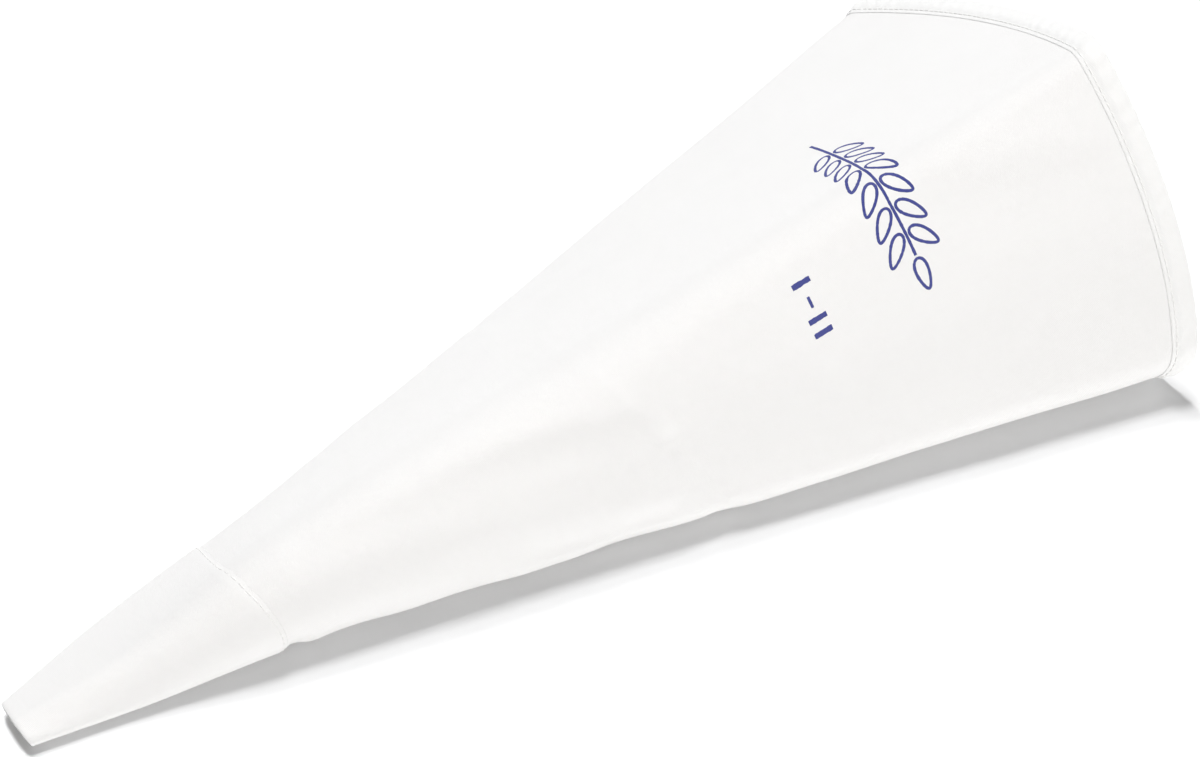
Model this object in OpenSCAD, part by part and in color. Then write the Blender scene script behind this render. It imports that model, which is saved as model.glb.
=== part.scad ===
// Coated cotton piping bag, empty, lying on one flat side with its mouth popped open.
// +X runs from the tip to the mouth, +Y to the back edge, +Z up. z = 0 is the surface it lies on.
// The cloth is one surface: five cross-sections, each a closed run of arcs on a flat underside,
// joined smoothly along the bag. Every layer is that same surface, moved out or in by its offset.

/* [Bag] */
// Length of the cloth from the tip to the mouth, measured along its side
bag_len = 400; // [380:1:420]
// Distance along the cloth from the tip to the storage crease
crease_at = 210; // [190:1:230]
// Distance along the cloth from the tip to the throat section
throat_at = 40; // [32:1:48]
// Thickness of the cotton cloth
cloth_t = 0.6; // [0.4:0.05:0.7]
// Thickness of the sealing coat inside the cloth
coating_t = 0.1; // [0.05:0.01:0.15]
// Gap between layers that are sewn or bonded together
layer_gap = 0.04; // [0.02:0.01:0.06]

/* [Mouth section] */
// Reach of the cloth towards the back
mouth_back = 91; // [86:0.5:96]
// Reach of the cloth towards the front
mouth_front = 98.5; // [95:0.5:102]
// Height of the ridge
mouth_h = 119; // [112:0.5:124]
// Position of the ridge across the bag
mouth_ridge = -38; // [-44:0.5:-32]
// Radius of the back corner
mouth_back_r = 14.5; // [10:0.5:18]
// Radius of the ridge
mouth_ridge_r = 6; // [4:0.5:12]
// Radius of the front corner
mouth_front_r = 22; // [18:0.5:26]
// How far the front facet bulges from straight
mouth_bulge = 6; // [4:0.5:12]

/* [Crease section] */
// Reach of the cloth towards the back
crease_back = 52; // [50:0.5:54]
// Reach of the cloth towards the front
crease_front = 52; // [50:0.5:55]
// Height of the ridge
crease_h = 69; // [66:0.5:72]
// Position of the ridge across the bag
crease_ridge = -19; // [-22:0.5:-15]
// Radius of the back corner
crease_back_r = 7.5; // [6:0.5:10]
// Radius of the ridge
crease_ridge_r = 17; // [14:0.5:20]
// Radius of the front corner
crease_front_r = 13.5; // [11:0.5:17]
// How far the front facet bulges from straight
crease_bulge = 3; // [2:0.5:5]

/* [Sleeve edge section] */
// Reach of the cloth towards the back
shoulder_back = 23.5; // [22:0.5:26]
// Reach of the cloth towards the front
shoulder_front = 23; // [22:0.5:25]
// Height of the ridge
shoulder_h = 40; // [38:0.5:42]
// Position of the ridge across the bag
shoulder_ridge = -8; // [-9:0.5:-6]
// Radius of the back corner
shoulder_back_r = 10.5; // [9.5:0.5:11.5]
// Radius of the ridge
shoulder_ridge_r = 10.5; // [9.5:0.5:11]
// Radius of the front corner
shoulder_front_r = 11; // [10:0.5:12]
// How far the front facet bulges from straight
shoulder_bulge = 3; // [2:0.5:4]

/* [Throat section] */
// Reach of the cloth towards the back
throat_back = 18; // [17:0.5:19]
// Reach of the cloth towards the front
throat_front = 14; // [13:0.5:15]
// Height of the ridge
throat_h = 19.5; // [19:0.5:20.5]
// Position of the ridge across the bag
throat_ridge = -4.5; // [-5:0.5:-3]
// Radius of the back corner
throat_back_r = 6.5; // [6:0.5:7]
// Radius of the ridge
throat_ridge_r = 6; // [5.5:0.5:6.5]
// Radius of the front corner
throat_front_r = 5; // [4.5:0.5:6]
// How far the front facet bulges from straight
throat_bulge = 1; // [0.5:0.5:1.5]

/* [Tip section] */
// Reach of the flattened tip opening towards the back
tip_back = 10; // [9:0.5:10.5]
// Reach of the flattened tip opening towards the front
tip_front = 6.5; // [6:0.5:7.5]
// Height of the flattened tip opening, outside the cloth
tip_h = 8.4; // [8:0.1:9]
// Radius of the tip's two side corners
tip_side_r = 3.7; // [3.4:0.1:3.9]
// Radius of the tip's upper side
tip_top_r = 3; // [2.6:0.1:3.4]
// How far the tip's upper lip stands ahead of its lower lip
tip_slant = 2.5; // [1:0.5:4]

/* [Hem] */
// Width of the turned-out hem round the mouth
hem_w = 8; // [6:0.5:10]
// Thickness of the two turned layers of the hem
hem_t = 1.1; // [0.9:0.1:1.2]
// How far the rolled edge of the hem stands past the cloth's end
hem_roll = 0.8; // [0.6:0.1:1]

/* [Tip sleeve] */
// Length of the second cloth layer round the tip
sleeve_len = 88; // [84:1:90]
// Thickness of the sleeve's cloth
sleeve_t = 0.7; // [0.5:0.1:0.8]

/* [Side seam] */
// Width of the turned-in seam allowance
allowance_w = 6; // [4:0.5:7]
// Thickness of one layer of the seam allowance
allowance_t = 0.5; // [0.4:0.05:0.6]
// Distance from the tip at which the allowance is trimmed away
allowance_from = 40; // [40:1:50]
// How far the side seam pulls the mouth's edge back
seam_pull = 9; // [0:1:10]

/* [Stitching] */
// Diameter of the sewing thread
thread_d = 0.35; // [0.25:0.05:0.4]
// Length of one visible stitch
stitch_len = 2.4; // [2:0.1:2.6]
// Distance from one stitch to the next
stitch_pitch = 3.2; // [3:0.1:4]
// Distance of each stitch row from the edge that it holds
stitch_inset = 1.5; // [1.2:0.1:2]

/* [Print] */
// Distance along the cloth from the tip to the emblem, an ear of wheat lying across the bag
emblem_at = 317; // [305:1:325]
// Length of the ear, from the end of its stem to its last grain
ear_l = 94; // [90:1:96]
// Length of one grain
grain_l = 11; // [9:0.5:12]
// Width of one grain
grain_w = 4.2; // [3.6:0.2:4.4]
// Number of pairs of grains
grain_pairs = 7; // [5:1:7]
// Angle between a grain and the stem
grain_tilt = 38; // [30:1:45]
// Width of the printed lines
ink_w = 1.1; // [0.8:0.1:1.4]
// Thickness of the ink
ink_t = 0.08; // [0.05:0.01:0.12]
// Distance along the cloth from the tip to the size bars
bars_at = 280; // [276:1:284]
// Height of the size bars
bar_h = 6.5; // [5:0.5:8]
// Width of the size bars
bar_w = 2; // [1.5:0.1:2.4]

/* [Hidden] */

// The ear starts this far behind the ridge, and the bars this far in front of it
ear_from = -54;
bars_across = 15.5;
stem_l = 16;
grain_pitch = 9.5;
grain_clear = 1.8;
grain_sides = 14;
ear_tip_gap = 1.2;
grain_taper = 0.3;
// The marks beside the bars' start: where each bar stands, and the two ends of the dash
bar_places = [0, 13, 18];
dash_ends = [5, 9];
// The ink floats just clear of the cloth's facets, in steps short enough to follow them
ink_gap = 0.12;
ink_step = 2;

// A stitch is straight, so it lies this far off the cloth and its middle clears the cloth's corners
stitch_lift = 0.2;
// The lowest stitch stays this far above the surface that the bag lies on
floor_gap = 0.05;
// The hem's rolled edge narrows to this share of its thickness
roll_taper = 0.7;
// The seam pulls on the cloth up to about this distance from it
pull_reach = 25;
// The allowance starts this far in from the corner line, and its upper layer is cut this much narrower
allowance_inset = 0.5;
trim_step = 1;

cloth_colour = [0.96, 0.955, 0.945];
thread_colour = [0.93, 0.92, 0.9];
ink_colour = [0.2, 0.24, 0.6];

// Each section: reach back, reach front, height, ridge across, three radii, front and back bulge.
back_bulge = 1;
tip_bulge = 0.1;
tip_ridge = 0.5;
mouth = [mouth_back, mouth_front, mouth_h, mouth_ridge,
         mouth_back_r, mouth_ridge_r, mouth_front_r, mouth_bulge, back_bulge];
crease = [crease_back, crease_front, crease_h, crease_ridge,
          crease_back_r, crease_ridge_r, crease_front_r, crease_bulge, back_bulge];
shoulder = [shoulder_back, shoulder_front, shoulder_h, shoulder_ridge,
            shoulder_back_r, shoulder_ridge_r, shoulder_front_r, shoulder_bulge, back_bulge];
throat = [throat_back, throat_front, throat_h, throat_ridge,
          throat_back_r, throat_ridge_r, throat_front_r, throat_bulge, back_bulge / 2];
tip = [tip_back, tip_front, tip_h, tip_ridge,
       tip_side_r, tip_top_r, tip_side_r, tip_bulge, tip_bulge];

// Sections along the cloth: the first four are joined by a smooth curve, and the last by a straight run.
knots = [0, throat_at, sleeve_len, crease_at];
shapes = [tip, throat, shoulder, crease];
last_knot = len(knots) - 1;

// Steps round the section: underside, back corner, back facet, ridge, front facet, front corner.
n_under = 4;
n_back = 6;
n_back_facet = 5;
n_ridge = 6;
n_front_facet = 8;
n_front = 7;
n_round = n_under + n_back + n_back_facet + n_ridge + n_front_facet + n_front;

// Stitched bands lie on the surface too, so the cloth rises over the seams just inside them.
band_ease = 8;
rise_height = 10;
stitch_room = layer_gap + stitch_lift + thread_d + floor_gap;
sleeve_rise = sleeve_t + stitch_room;
hem_rise = hem_t + stitch_room;
hem_from = bag_len - hem_w;

// Distances along the cloth at which the surface has a ring of points.
tip_stations = [for (i = [0:8]) sleeve_len * i / 8];
mid_stations = [for (i = [0:6]) sleeve_len + band_ease + (crease_at - sleeve_len - band_ease) * i / 6];
end_stations = [for (i = [1:5]) crease_at + (hem_from - band_ease - crease_at) * i / 5];
hem_stations = [hem_from, bag_len - hem_w / 2, bag_len];
stations = concat(tip_stations, mid_stations, end_stations, hem_stations);
last_sleeve = len(tip_stations) - 1;
last_station = len(stations) - 1;
first_hem = last_station - 2;

function mix(a, b, t) = a + (b - a) * t;
function clamp01(t) = min(1, max(0, t));
function secant(i) = (shapes[i + 1] - shapes[i]) / (knots[i + 1] - knots[i]);
// Slope of the section's sizes at knot i, from the runs on each side of it
function slope(i) = i == 0 ? secant(0) : i == last_knot ? secant(i - 1) :
    let (before = knots[i] - knots[i - 1], after = knots[i + 1] - knots[i])
    (secant(i - 1) * after + secant(i) * before) / (before + after);
function blend(i, s) =
    let (run = knots[i + 1] - knots[i], t = (s - knots[i]) / run)
    shapes[i] * (1 + 2 * t) * (1 - t) * (1 - t) + slope(i) * run * t * (1 - t) * (1 - t)
    + shapes[i + 1] * t * t * (3 - 2 * t) + slope(i + 1) * run * t * t * (t - 1);
// The section's nine sizes at distance s along the cloth
function sizes(s) =
    s >= crease_at ? mix(crease, mouth, (min(s, bag_len) - crease_at) / (bag_len - crease_at)) :
    s >= sleeve_len ? blend(2, s) : s >= throat_at ? blend(1, s) : blend(0, s);

// A shallow arc that runs smoothly from circle 1 to circle 2: [centre, radius, start angle, end angle]
function facet(c1, r1, c2, r2, bulge) =
    let (gap = norm(c2 - c1), u = (c2 - c1) / gap,
         r = gap * gap / (8 * bulge) + bulge / 2 + max(r1, r2),
         along = ((r - r1) ^ 2 - (r - r2) ^ 2 + gap * gap) / (2 * gap),
         c = c1 + u * along + [-u.y, u.x] * sqrt((r - r1) ^ 2 - along ^ 2))
    [c, r, atan2(c1.y - c.y, c1.x - c.x), atan2(c2.y - c.y, c2.x - c.x)];
function onward(a, from) = a < from ? a + 360 : a;
// Points [y, z, outward angle] on an arc, without its last one
function arc(c, r, from, to, n) =
    [for (i = [0:n - 1]) let (a = mix(from, to, i / n)) [c.x + r * cos(a), c.y + r * sin(a), a]];

// The closed section at distance s, as points [y, z, outward angle], from the front end of the underside
function section(s) =
    let (q = sizes(s), back = [q[0] - q[4], q[4]], top = [q[3], q[2] - q[5]], front = [q[6] - q[1], q[6]],
         rear = facet(back, q[4], top, q[5], q[8]), fore = facet(top, q[5], front, q[6], q[7]),
         a1 = rear[2], a2 = rear[3], a3 = onward(fore[2], a2), a4 = onward(fore[3], a3))
    concat([for (i = [0:n_under - 1]) [mix(front.x, back.x, i / n_under), 0, -90]],
           arc(back, q[4], -90, a1, n_back), arc(rear[0], rear[1], a1, a2, n_back_facet),
           arc(top, q[5], a2, a3, n_ridge), arc(fore[0], fore[1], a3, a4, n_front_facet),
           arc(front, q[6], a4, 270, n_front));

rings = [for (s = stations) section(s)];
// Distance along X that each line of the cloth covers, so that all of them have the same length
runs = [for (k = [0:n_round - 1]) let (d = rings[last_station][k] - rings[0][k])
    sqrt(bag_len ^ 2 - d[0] ^ 2 - d[1] ^ 2)];

function rise(s) = sleeve_rise * clamp01((sleeve_len + band_ease - s) / band_ease)
    + hem_rise * clamp01((s - hem_from + band_ease) / band_ease);
function lip(s, z) = s >= throat_at ? 0 : tip_slant * (1 - s / throat_at) * (1 - z / sizes(s)[2]);
// How far the side seam, from which the point lies `away`, pulls it towards the tip
function pull(s, away) = s <= crease_at ? 0 :
    seam_pull * (min(s, bag_len) - crease_at) ^ 2 / (bag_len - crease_at) ^ 2 * exp(-(away / pull_reach) ^ 2);

// Origin of the part: centre of its footprint, on the surface that it lies on
front_edge = min([for (q = rings[last_station]) q[0] + (hem_t + layer_gap) * cos(q[2])]);
back_edge = max([for (q = rings[last_station]) q[0] + (hem_t + layer_gap) * cos(q[2])]);
mouth_edge = max(runs) * (bag_len + hem_roll) / bag_len;
origin = [mouth_edge / 2, (front_edge + back_edge) / 2, 0];

// A point of a layer: ring j, line k, offset outwards, and how far past the ring along the cloth
function point(j, k, off, past = 0) =
    let (s = stations[j] + past, q = rings[j][k % n_round], away = norm([q[0] - rings[j][0][0], q[1]]))
    [s * runs[k % n_round] / bag_len + lip(s, q[1]) - pull(s, away), q[0] + off * cos(q[2]),
     q[1] + off * sin(q[2]) + rise(stations[j]) * clamp01(1 - q[1] / rise_height)] - origin;

// A point anywhere on a layer: j and k need not be whole numbers, and it lies on the facets
function on_facet(j, k, off) =
    let (j0 = floor(j), k0 = floor(k), a = j - j0, b = k - k0,
         p = point(j0, k0, off), pj = point(j0 + 1, k0, off), pk = point(j0, k0 + 1, off),
         pjk = point(j0 + 1, k0 + 1, off))
    a >= b ? p + (pj - p) * a + (pjk - pj) * b : p + (pk - p) * b + (pjk - pk) * a;

// Ring number, not whole, at distance s along the cloth
function ring_at(s) = let (j = max([for (i = [0:last_station - 1]) if (stations[i] <= s) i]))
    j + (s - stations[j]) / (stations[j + 1] - stations[j]);

// A closed loop of [ring, offset, past] carried once round the section: a tube, band or lining
module cloth_loop(loop) {
    n = len(loop);
    points = [for (v = loop, k = [0:n_round - 1]) point(v[0], k, v[1], v[2])];
    // every layer splits its quads along the same diagonal, so that thin layers never cross
    faces = [for (i = [0:n - 1], k = [0:n_round - 1])
        let (next = (i + 1) % n, a = i * n_round + k, b = i * n_round + (k + 1) % n_round,
             c = next * n_round + (k + 1) % n_round, d = next * n_round + k)
        each loop[next][0] < loop[i][0] ? [[a, d, b], [b, d, c]] : [[a, c, b], [a, d, c]]];
    polyhedron(points, faces);
}

// A tube of cloth between two offsets, from ring `from` to ring `to`
module cloth_tube(from, to, outside, inside) {
    cloth_loop(concat([for (j = [from:to]) [j, outside, 0]], [for (j = [to:-1:from]) [j, inside, 0]]));
}

// A flat bar through a list of four-cornered sections; a closed one joins its last to its first
module swept_bar(quads, closed = false) {
    n = len(quads);
    points = [for (q = quads) each q];
    sides = [for (i = [0:n - (closed ? 1 : 2)], e = [0:3])
        let (next = (i + 1) % n, turn = (e + 1) % 4,
             a = 4 * i + e, b = 4 * i + turn, c = 4 * next + e, d = 4 * next + turn)
        each [[a, d, c], [a, b, d]]];
    z = 4 * n - 4;
    ends = closed ? [] : [[0, 2, 1], [0, 3, 2], [z, z + 1, z + 2], [z, z + 2, z + 3]];
    polyhedron(points, concat(sides, ends));
}

// Distance along a path at each of its points, and the point at distance d along it
function distances(path) =
    let (last = len(path) - 1)
    [for (i = 0, d = 0; i <= last; d = d + (i < last ? norm(path[i + 1] - path[i]) : 0), i = i + 1) d];
function spot_along(path, sums, d) = let (i = max([for (k = [0:len(path) - 2]) if (sums[k] <= d) k]))
    mix(path[i], path[i + 1], (d - sums[i]) / (sums[i + 1] - sums[i]));

// A straight length of thread from a to b
module thread(a, b) {
    run = b - a;
    translate(a)
        rotate([0, acos(run.z / norm(run)), atan2(run.y, run.x)])
            cylinder(h = norm(run), d = thread_d, $fn = 32);
}

// Stitches laid evenly along a path
module stitch_row(path) {
    sums = distances(path);
    run = sums[len(sums) - 1];
    count = floor(run / stitch_pitch);
    for (i = [0:count - 1]) {
        start = run * i / count;
        thread(spot_along(path, sums, start), spot_along(path, sums, start + stitch_len));
    }
}

// A row of stitches round the bag at distance s, resting on a layer whose outside is at `off`
module stitch_ring(s, off) {
    j = ring_at(s);
    stitch_row([for (k = [0:n_round]) on_facet(j, k % n_round, off + stitch_lift + thread_d / 2)]);
}

module bag_body() {
    color(cloth_colour)
        cloth_tube(0, last_station, 0, -cloth_t);
}

module inner_coating() {
    outside = -cloth_t - layer_gap;
    color(cloth_colour)
        cloth_tube(0, last_station, outside, outside - coating_t);
}

// The mouth's edge is turned outwards twice: a band on the outside with a roll over the cloth's end
module mouth_hem() {
    outside = layer_gap + hem_t;
    color(cloth_colour)
        cloth_loop([[first_hem, layer_gap, 0], [first_hem, outside, 0], [first_hem + 1, outside, 0],
                    [last_station, outside, 0], [last_station, outside * roll_taper, hem_roll],
                    [last_station, -cloth_t, hem_roll], [last_station, -cloth_t, layer_gap],
                    [last_station, layer_gap, layer_gap], [first_hem + 1, layer_gap, 0]]);
}

module hem_stitches() {
    color(thread_colour)
        stitch_ring(hem_from + stitch_inset, layer_gap + hem_t);
}

module tip_sleeve() {
    color(cloth_colour)
        cloth_tube(0, last_sleeve, layer_gap + sleeve_t, layer_gap);
}

module sleeve_stitches() {
    color(thread_colour)
        stitch_ring(sleeve_len - stitch_inset, layer_gap + sleeve_t);
}

// Height above the inner floor of the cloth at which the allowance's layers lie
allowance_low = cloth_t + coating_t + 2 * layer_gap;
first_allowance = ceil(ring_at(allowance_from));
allowance_rings = [for (j = [first_allowance:last_station]) j];
function allowance_quad(j, low, high, y0, y1) =
    let (p = point(j, 0, 0)) [for (c = [[y0, low], [y0, high], [y1, high], [y1, low]]) p + [0, c[0], c[1]]];

// The cloth's two edges, turned in at the side seam and lying one on the other on the underside
module seam_allowance() {
    color(cloth_colour)
        for (layer = [0, 1]) {
            low = allowance_low + layer * (allowance_t + layer_gap);
            width = allowance_w - layer * trim_step;
            swept_bar([for (j = allowance_rings)
                allowance_quad(j, low, low + allowance_t, allowance_inset, width)]);
        }
}

module seam_stitches() {
    row = [0, allowance_inset + stitch_inset,
           allowance_low + 2 * allowance_t + layer_gap + stitch_lift + thread_d / 2];
    color(thread_colour)
        stitch_row([for (j = allowance_rings) point(j, 0, 0) + row]);
}

// Arc length across the cloth from the ridge, beside the line number there, along ring j
first_print_line = n_under + n_back;
ridge_line = n_under + n_back + n_back_facet + n_ridge / 2;
function across_table(j) =
    let (p = [for (k = [first_print_line:n_round - 1]) on_facet(j, k, 0)], last = len(p) - 1,
         sums = distances(p), at_ridge = sums[ridge_line - first_print_line])
    [for (i = [0:last]) [sums[i] - at_ridge, i + first_print_line]];

// One side of a printed line, low and high: `spot` is [across, along], with +across to the front
function ink_side(spot) =
    let (j = ring_at(spot[1]), k = lookup(spot[0], across_table(j)))
    [on_facet(j, k, ink_gap), on_facet(j, k, ink_gap + ink_t)];
function ink_quad(spot, travel, width) =
    let (side = [travel[1], -travel[0]] * width / (2 * norm(travel)),
         right = ink_side(spot + side), left = ink_side(spot - side))
    [right[0], right[1], left[1], left[0]];

// A printed line along `path`, a list of [across, along]
module ink_line(path, width = ink_w, closed = false) {
    n = len(path);
    swept_bar([for (i = [0:n - 1])
        let (before = closed ? path[(i + n - 1) % n] : path[max(i - 1, 0)],
             after = closed ? path[(i + 1) % n] : path[min(i + 1, n - 1)])
        ink_quad(path[i], after - before, width)], closed);
}

// A straight printed bar from one spot to another
module ink_bar(from, to, width) {
    steps = ceil(norm(to - from) / ink_step);
    ink_line([for (i = [0:steps]) mix(from, to, i / steps)], width);
}

// The outline of one grain of the ear: a leaf shape that points away from the stem
module ink_grain(centre, heading) {
    ink_line([for (i = [0:grain_sides - 1])
        let (a = 360 * i / grain_sides, x = grain_l / 2 * cos(a),
             y = grain_w / 2 * sin(a) * (1 - grain_taper * cos(a)))
        centre + [x * cos(heading) - y * sin(heading), x * sin(heading) + y * cos(heading)]], ink_w, true);
}

// A plain ear of wheat, lying across the bag: a stem, grains in pairs and one grain at the end
module printed_emblem() {
    color(ink_colour) {
        ink_bar([ear_from, emblem_at], [ear_from + ear_l - grain_l - ear_tip_gap, emblem_at], ink_w);
        ink_grain([ear_from + ear_l - grain_l / 2, emblem_at], 0);
        for (i = [0:grain_pairs - 1], side = [-1, 1]) {
            root = [ear_from + stem_l + i * grain_pitch, emblem_at + side * grain_clear];
            ink_grain(root + grain_l / 2 * [cos(grain_tilt), side * sin(grain_tilt)], side * grain_tilt);
        }
    }
}

// Three upright bars and a dash, in place of a size code
module printed_size_bars() {
    color(ink_colour) {
        for (place = bar_places) {
            across = bars_across + place;
            ink_bar([across, bars_at - bar_h / 2], [across, bars_at + bar_h / 2], bar_w);
        }
        ink_bar([bars_across + dash_ends[0], bars_at], [bars_across + dash_ends[1], bars_at], ink_w);
    }
}

bag_body();
inner_coating();
mouth_hem();
hem_stitches();
tip_sleeve();
sleeve_stitches();
seam_allowance();
seam_stitches();
printed_emblem();
printed_size_bars();
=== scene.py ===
# Coated cotton piping bag, empty, lying on one flat side with its mouth popped open.
# The cloth is one surface, the same as in part.scad: five cross-sections joined along the bag. Here it also
# carries folds, dents and puckers. Each piece of the bag is a layer of that surface, or lies on one.
# Lengths are in millimetres until a mesh is made, and the mesh is in metres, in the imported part's frame.
import math
from typing import NamedTuple

import bpy
import numpy as np
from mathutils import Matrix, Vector, noise


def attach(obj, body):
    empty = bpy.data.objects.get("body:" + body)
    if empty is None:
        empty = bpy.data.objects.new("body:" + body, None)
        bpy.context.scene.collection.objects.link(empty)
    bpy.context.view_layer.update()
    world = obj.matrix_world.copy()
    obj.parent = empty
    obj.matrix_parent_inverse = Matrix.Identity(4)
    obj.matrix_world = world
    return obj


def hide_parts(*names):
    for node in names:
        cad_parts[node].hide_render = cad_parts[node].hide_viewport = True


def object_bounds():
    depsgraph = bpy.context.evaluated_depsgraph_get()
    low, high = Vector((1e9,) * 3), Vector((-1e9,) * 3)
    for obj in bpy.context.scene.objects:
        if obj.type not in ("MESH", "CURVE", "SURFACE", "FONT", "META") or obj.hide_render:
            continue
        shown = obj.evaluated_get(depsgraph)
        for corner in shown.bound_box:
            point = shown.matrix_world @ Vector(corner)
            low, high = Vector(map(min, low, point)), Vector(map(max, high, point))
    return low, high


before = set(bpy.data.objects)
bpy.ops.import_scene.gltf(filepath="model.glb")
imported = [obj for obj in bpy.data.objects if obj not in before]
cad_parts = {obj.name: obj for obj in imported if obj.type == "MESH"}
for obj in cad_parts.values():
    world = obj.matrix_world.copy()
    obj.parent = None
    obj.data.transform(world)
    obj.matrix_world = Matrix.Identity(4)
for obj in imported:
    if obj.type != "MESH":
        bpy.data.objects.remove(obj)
cad_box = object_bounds()
MM = 0.001


# ---------------------------------------------------------------- sizes of the bag, as in part.scad
class Section(NamedTuple):
    """One cross-section of the cloth: how far it reaches, its ridge, its corner radii and its bulges."""
    back: float
    front: float
    height: float
    ridge: float
    back_r: float
    ridge_r: float
    front_r: float
    front_bulge: float
    back_bulge: float


BAG_LEN, CREASE_AT, THROAT_AT, SLEEVE_LEN = 400, 210, 40, 88
MOUTH = Section(91, 98.5, 119, -38, 14.5, 6, 22, 6, 1)
CREASE = Section(52, 52, 69, -19, 7.5, 17, 13.5, 3, 1)
SHOULDER = Section(23.5, 23, 40, -8, 10.5, 10.5, 11, 3, 1)
THROAT = Section(18, 14, 19.5, -4.5, 6.5, 6, 5, 1, 0.5)
TIP = Section(10, 6.5, 8.4, 0.5, 3.7, 3, 3.7, 0.1, 0.1)
TIP_SLANT, SEAM_PULL, PULL_REACH = 2.5, 9, 25
EDGE_TURN = 3.72  # angle on the front corner, in radians, of the lower edge that shows from the front
SLEEVE_SLANT = 9.5

CLOTH_T, COATING_T, LAYER_GAP = 0.6, 0.1, 0.04
HEM_W, HEM_T, HEM_ROLL = 8, 1.1, 0.8
SLEEVE_T = 0.7
ALLOWANCE_W, ALLOWANCE_T, ALLOWANCE_FROM, ALLOWANCE_INSET = 6, 0.5, 40, 0.5
THREAD_D, STITCH_LEN, STITCH_PITCH, STITCH_INSET, STITCH_LIFT = 0.35, 2.4, 3.2, 1.5, 0.2
BAND_EASE, RISE_HEIGHT, FLOOR_GAP = 8, 10, 0.05
EMBLEM_AT, EAR_FROM, EAR_L, STEM_L = 317, -54, 94, 16
GRAIN_L, GRAIN_W, GRAIN_PAIRS, GRAIN_TILT, GRAIN_PITCH, GRAIN_CLEAR = 11, 4.2, 7, 38, 9.5, 1.8
INK_W, INK_T, INK_SINK = 1.1, 0.06, 0.03
BARS_AT, BARS_ACROSS, BAR_H, BAR_W = 280, 15.5, 6.5, 2
BAR_PLACES, DASH_ENDS = (0, 13, 18), (5, 9)

# The cut of the cloth: a sector of a circle. Its small end goes round the tip, its large end round the mouth.
TIP_ROUND, MOUTH_ROUND = 40, 496
SECTOR = (MOUTH_ROUND - TIP_ROUND) / BAG_LEN
TIP_RADIUS = TIP_ROUND / SECTOR


# ---------------------------------------------------------------- the surface of the cloth
def knot_slopes(knots, shapes):
    """Slope of the sizes at each knot: the secants at the ends, and their weighted mean between them."""
    secants = [(b - a) / (t - s) for a, b, s, t in zip(shapes, shapes[1:], knots, knots[1:])]
    inner = [(secants[i - 1] * (knots[i + 1] - knots[i]) + secants[i] * (knots[i] - knots[i - 1]))
             / (knots[i + 1] - knots[i - 1]) for i in range(1, len(knots) - 1)]
    return [secants[0], *inner, secants[-1]]


KNOTS = (0, THROAT_AT, SLEEVE_LEN, CREASE_AT)
SHAPES = [np.array(shape, float) for shape in (TIP, THROAT, SHOULDER, CREASE)]
SLOPES = knot_slopes(KNOTS, SHAPES)


def sizes_at(s):
    """The nine sizes of the section at each distance s along the cloth: a curve, then a straight run."""
    s = np.clip(s, 0, BAG_LEN)[..., None]
    sizes = SHAPES[-1] + (np.array(MOUTH) - SHAPES[-1]) * (s - CREASE_AT) / (BAG_LEN - CREASE_AT)
    for i in range(len(KNOTS) - 1):
        run = KNOTS[i + 1] - KNOTS[i]
        t = (s - KNOTS[i]) / run
        blend = (SHAPES[i] * (1 + 2 * t) * (1 - t) ** 2 + SLOPES[i] * run * t * (1 - t) ** 2
                 + SHAPES[i + 1] * t * t * (3 - 2 * t) + SLOPES[i + 1] * run * t * t * (t - 1))
        sizes = np.where((s >= KNOTS[i]) & (s < KNOTS[i + 1]), blend, sizes)
    return Section(*np.moveaxis(sizes, -1, 0))


def facet(c1, r1, c2, r2, bulge):
    """A shallow arc that runs smoothly from circle 1 to circle 2. Points are complex numbers, y + iz."""
    gap = abs(c2 - c1)
    r = gap ** 2 / (8 * bulge) + bulge / 2 + np.maximum(r1, r2)
    along = ((r - r1) ** 2 - (r - r2) ** 2 + gap ** 2) / (2 * gap)
    centre = c1 + (c2 - c1) / gap * (along + 1j * np.sqrt((r - r1) ** 2 - along ** 2))
    return centre, r, np.angle(c1 - centre), np.angle(c2 - centre)


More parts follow.
